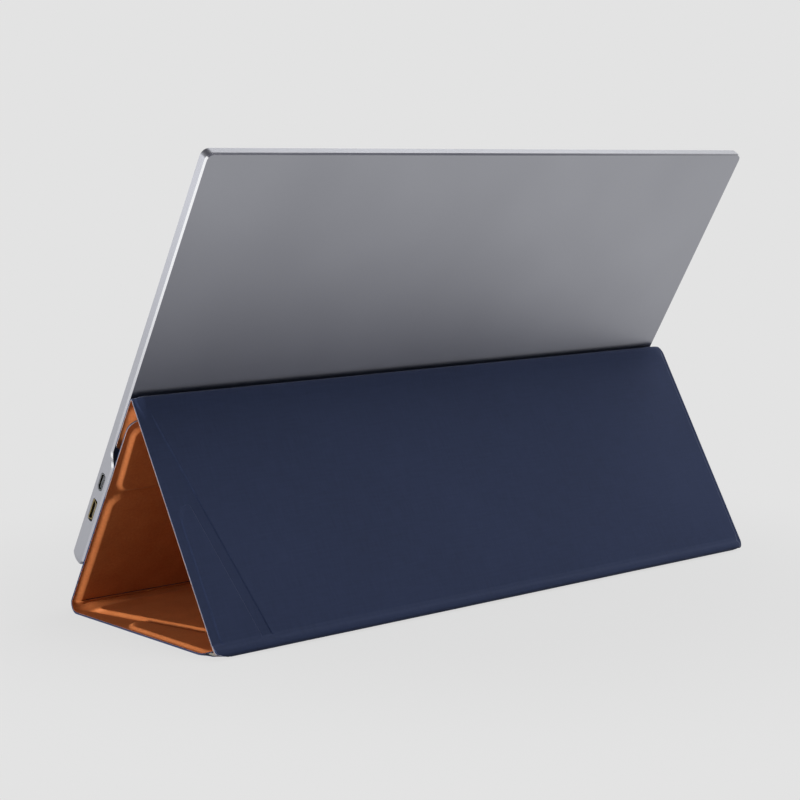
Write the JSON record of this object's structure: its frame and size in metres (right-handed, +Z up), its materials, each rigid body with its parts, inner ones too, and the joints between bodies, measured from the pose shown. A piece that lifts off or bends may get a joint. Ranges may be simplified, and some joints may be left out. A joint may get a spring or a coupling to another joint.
{
  "type": "portable monitor with cover",
  "caption": "Thin portable monitor leaning on its own folding cover: a stepped metal back, glass front, side sockets, and hinged fabric panels folded into a triangular stand.",
  "frame": {"origin": "centre of the whole object's box, on the surface that the cover's base panel lies on", "axes": "+X along the width, towards the end with the data and video sockets; +Y out of the back of the stand, the screen faces -Y and up; +Z up"},
  "size_m": [0.3659, 0.1215, 0.2241],
  "materials": {
    "aluminium_back": "fine satin, anodised",
    "black_frame": "matt",
    "screen_glass": "gloss, black behind",
    "display_layers": "smooth",
    "graphite": "matt foil",
    "circuit_board": "solder resist",
    "steel": "plain",
    "ribbon_amber": "polyimide film",
    "ribbon_white": "film",
    "socket_steel": "plain",
    "socket_gilt": "plated",
    "black_plastic": "matt",
    "brass_insert": "plain",
    "key_metal": "satin",
    "navy_fabric": "fine weave",
    "tan_lining": "smooth, soft",
    "stiff_board": "laminate",
    "magnet": "plated"
  },
  "bodies": {
    "display": {"rear_cover": "aluminium_back", "bezel_frame": "black_frame", "display_glass": "screen_glass", "oled_panel": "display_layers", "graphite_sheet": "graphite", "main_board": "circuit_board", "shield_can": "steel", "driver_board": "circuit_board", "panel_ribbon": "ribbon_amber", "data_socket_port_side": "socket_steel", "video_socket": "socket_gilt", "key_board": "circuit_board", "data_socket_key_side": "socket_steel", "sound_socket": "black_plastic", "menu_switch": "steel", "power_switch": "steel", "link_ribbon": "ribbon_white", "tripod_insert": "brass_insert", "steel_plate_port_side": "steel", "steel_plate_key_side": "steel"},
    "top_flap": {"flap_skin": "navy_fabric", "flap_board": "stiff_board", "flap_magnets": "magnet", "flap_lining": "tan_lining", "apex_fold_strip": "navy_fabric"},
    "rear_panel": {"rear_skin": "navy_fabric", "rear_board": "stiff_board", "rear_corner_board": "stiff_board", "rear_lining": "tan_lining", "rear_fold_strip": "navy_fabric"},
    "base_panel": {"base_skin": "navy_fabric", "base_board": "stiff_board", "base_corner_board": "stiff_board", "base_lining": "tan_lining", "front_fold_strip": "navy_fabric"},
    "front_wall": {"wall_skin": "navy_fabric", "wall_board": "stiff_board", "wall_lining": "tan_lining", "tab_fold_strip": "navy_fabric"},
    "tab": {"tab_skin": "navy_fabric", "tab_board": "stiff_board", "tab_magnets": "magnet", "tab_lining": "tan_lining"},
    "power_key": {"power_key": "key_metal"},
    "menu_key": {"menu_key": "key_metal"}
  },
  "joints": [
    {"name": "cover_pull_off", "type": "slide", "parent": "display", "child": "top_flap", "axis": [0, 0.8643, -0.503], "range_m": [0, 0.06]},
    {"name": "apex_fold", "type": "hinge", "parent": "top_flap", "child": "rear_panel", "pos_m": [0, -0.00429, 0.11071], "axis": [1, 0, 0], "range_deg": [0, 117], "deforming": ["apex_fold_strip"]},
    {"name": "rear_fold", "type": "hinge", "parent": "rear_panel", "child": "base_panel", "pos_m": [0, 0.05934, 0.00122], "axis": [1, 0, 0], "range_deg": [0, 119], "deforming": ["rear_fold_strip"]},
    {"name": "front_fold", "type": "hinge", "parent": "base_panel", "child": "front_wall", "pos_m": [0, -0.05897, 0.00367], "axis": [1, 0, 0], "range_deg": [-54, 0], "deforming": ["front_fold_strip"]},
    {"name": "tab_fold", "type": "hinge", "parent": "front_wall", "child": "tab", "pos_m": [0, -0.02752, 0.0636], "axis": [1, 0, 0], "range_deg": [0, 27], "deforming": ["tab_fold_strip"]},
    {"name": "power_key_press", "type": "slide", "parent": "display", "child": "power_key", "axis": [1, 0, 0], "range_m": [0, 0.00035], "stiffness_N_per_m": 600, "springref_m": -0.0003},
    {"name": "menu_key_press", "type": "slide", "parent": "display", "child": "menu_key", "axis": [1, 0, 0], "range_m": [0, 0.00035], "stiffness_N_per_m": 600, "springref_m": -0.0003}
  ],
  "couplings": [
    {"joint": "apex_fold", "follows": "rear_fold", "ratio": 0.98},
    {"joint": "front_fold", "follows": "rear_fold", "ratio": -0.45},
    {"joint": "tab_fold", "follows": "rear_fold", "ratio": 0.22}
  ]
}
